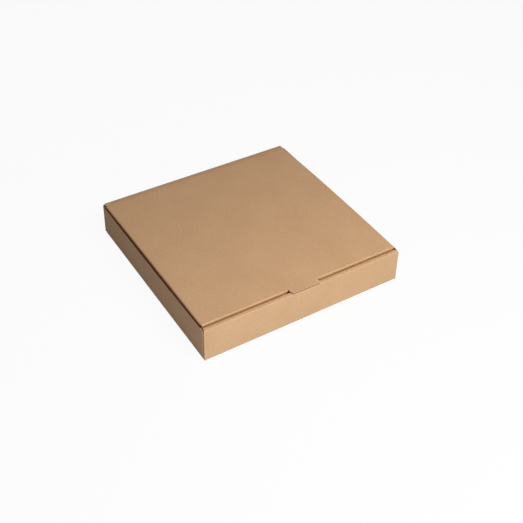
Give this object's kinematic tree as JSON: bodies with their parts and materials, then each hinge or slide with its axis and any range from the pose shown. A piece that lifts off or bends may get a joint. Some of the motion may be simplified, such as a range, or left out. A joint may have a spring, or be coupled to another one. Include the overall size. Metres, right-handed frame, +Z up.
{
  "type": "corrugated pizza box",
  "caption": "Shallow square folding box of plain brown corrugated board, with a hinged tuck-in lid, side flaps, a rolled front wall and a thumb tab.",
  "frame": {"origin": "middle of the underside of the tray", "axes": "+Z up, +X to the right as seen from the front, +Y from the front wall with the thumb tab towards the back wall with the lid's crease"},
  "size_m": [0.305, 0.3, 0.0518],
  "materials": {
    "kraft_board": "matte unprinted brown kraft liners on a fine flute"
  },
  "bodies": {
    "tray": {"tray": "kraft_board"},
    "lid": {"lid": "kraft_board"}
  },
  "joints": [
    {"name": "lid_crease", "type": "hinge", "parent": "tray", "child": "lid", "pos_m": [0, 0.14946, 0.05126], "axis": [-1, 0, 0], "range_deg": [0, 180]}
  ]
}
